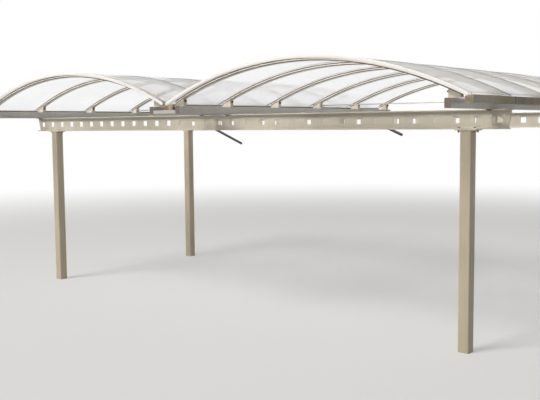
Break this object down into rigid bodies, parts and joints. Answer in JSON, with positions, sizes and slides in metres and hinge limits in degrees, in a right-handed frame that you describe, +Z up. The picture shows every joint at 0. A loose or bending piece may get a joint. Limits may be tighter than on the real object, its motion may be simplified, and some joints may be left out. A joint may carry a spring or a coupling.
{
  "type": "carport",
  "caption": "Open carport: square posts and perforated beams carry box purlins, gutters and low glazed barrel vaults with curved ribs, cap strips, tie rods and drain spouts.",
  "frame": {"origin": "on the floor, under the middle of the whole outline with its drain spouts", "axes": "+X along the beams to the right, -Y to the front, +Z up"},
  "size_m": [8.376, 6.138, 3.265],
  "materials": {
    "post_paint": "satin paint",
    "beam_paint": "satin paint",
    "purlin_metal": "satin paint",
    "gutter_metal": "satin paint",
    "shoe_metal": "satin paint",
    "rib_metal": "mill finish",
    "roof_sheet": "clear multi-wall sheet, faintly opal",
    "spout_plastic": "grey pipe",
    "clip_metal": "dull zinc",
    "rod_metal": "zinc plated"
  },
  "bodies": {
    "root": {"post_front_left": "post_paint", "post_front_right": "post_paint", "front_beam_web": "beam_paint", "front_beam_flanges": "beam_paint", "post_back_left": "post_paint", "post_back_right": "post_paint", "back_beam_web": "beam_paint", "back_beam_flanges": "beam_paint", "head_plates": "beam_paint", "left_outer_purlin": "purlin_metal", "left_valley_purlin": "purlin_metal", "left_rib_shoes": "shoe_metal", "left_rib_1": "rib_metal", "left_rib_2": "rib_metal", "left_rib_3": "rib_metal", "left_rib_4": "rib_metal", "left_rib_5": "rib_metal", "left_rib_6": "rib_metal", "left_sheet_1": "roof_sheet", "left_sheet_2": "roof_sheet", "left_sheet_3": "roof_sheet", "left_sheet_4": "roof_sheet", "left_sheet_5": "roof_sheet", "left_cap_strips": "rib_metal", "left_spout": "spout_plastic", "right_outer_purlin": "purlin_metal", "right_valley_purlin": "purlin_metal", "right_rib_shoes": "shoe_metal", "right_rib_1": "rib_metal", "right_rib_2": "rib_metal", "right_rib_3": "rib_metal", "right_rib_4": "rib_metal", "right_rib_5": "rib_metal", "right_rib_6": "rib_metal", "right_sheet_1": "roof_sheet", "right_sheet_2": "roof_sheet", "right_sheet_3": "roof_sheet", "right_sheet_4": "roof_sheet", "right_sheet_5": "roof_sheet", "right_cap_strips": "rib_metal", "right_spout": "spout_plastic", "valley_spout": "spout_plastic", "valley_bars": "purlin_metal", "gutter_floors": "gutter_metal", "gutter_walls": "gutter_metal", "gutter_stop_ends": "gutter_metal", "purlin_end_plugs": "purlin_metal", "purlin_clips": "clip_metal", "tie_rods": "rod_metal"}
  },
  "joints": []
}
